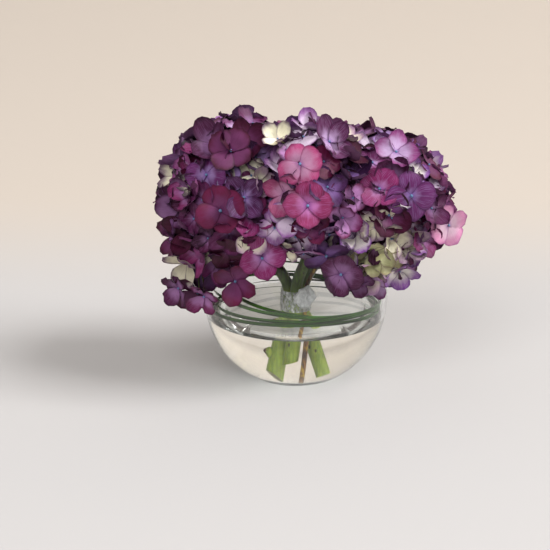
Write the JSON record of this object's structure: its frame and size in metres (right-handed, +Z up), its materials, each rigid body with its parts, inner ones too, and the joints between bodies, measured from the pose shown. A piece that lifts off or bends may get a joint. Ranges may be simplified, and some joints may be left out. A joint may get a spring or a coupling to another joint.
{
  "type": "hydrangea bouquet in a glass bowl",
  "caption": "Round glass bowl of water holding a low dome of purple, wine and pink hydrangea heads, their cut stems bound with clear film, with grass blades coiled inside.",
  "frame": {"origin": "middle of the bowl's base, on the surface that it stands on", "axes": "+Z up; -Y towards the front, the side that shows the rose pink florets; +X to the right of someone who looks at the front"},
  "size_m": [0.254, 0.1664, 0.2331],
  "materials": {
    "bowl_glass": "clear blown glass",
    "water": "still clear water",
    "clear_film": "clear crumpled film",
    "stem_green": "fresh green stem, cut at a slant",
    "twig_brown": "thin woody twig",
    "blade_green": "fresh grass leaf",
    "left_petals": "matt wine and magenta sepals",
    "middle_petals": "matt rose pink sepals",
    "right_petals": "matt violet sepals, some pale green"
  },
  "bodies": {
    "root": {"film_knot": "clear_film", "grass_blade_1": "blade_green", "grass_blade_2": "blade_green", "grass_blade_3": "blade_green", "grass_blade_4": "blade_green", "grass_blade_5": "blade_green", "left_cluster_01": "left_petals", "left_cluster_02": "left_petals", "left_cluster_03": "left_petals", "left_cluster_04": "left_petals", "left_cluster_05": "left_petals", "left_cluster_06": "left_petals", "left_cluster_07": "left_petals", "left_cluster_08": "left_petals", "left_cluster_09": "left_petals", "left_cluster_10": "left_petals", "left_cluster_11": "left_petals", "left_cluster_12": "left_petals", "left_head_stem": "stem_green", "middle_cluster_01": "middle_petals", "middle_cluster_02": "middle_petals", "middle_cluster_03": "middle_petals", "middle_cluster_04": "middle_petals", "middle_cluster_05": "middle_petals", "middle_cluster_06": "middle_petals", "middle_cluster_07": "middle_petals", "middle_cluster_08": "middle_petals", "middle_cluster_09": "middle_petals", "middle_cluster_10": "middle_petals", "middle_cluster_11": "middle_petals", "middle_cluster_12": "middle_petals", "middle_head_stem": "stem_green", "right_cluster_01": "right_petals", "right_cluster_02": "right_petals", "right_cluster_03": "right_petals", "right_cluster_04": "right_petals", "right_cluster_05": "right_petals", "right_cluster_06": "right_petals", "right_cluster_07": "right_petals", "right_cluster_08": "right_petals", "right_cluster_09": "right_petals", "right_cluster_10": "right_petals", "right_cluster_11": "right_petals", "right_cluster_12": "right_petals", "right_head_stem": "stem_green", "stem_film": "clear_film", "vase_bowl": "bowl_glass", "water": "water", "woody_twig": "twig_brown"}
  },
  "joints": []
}
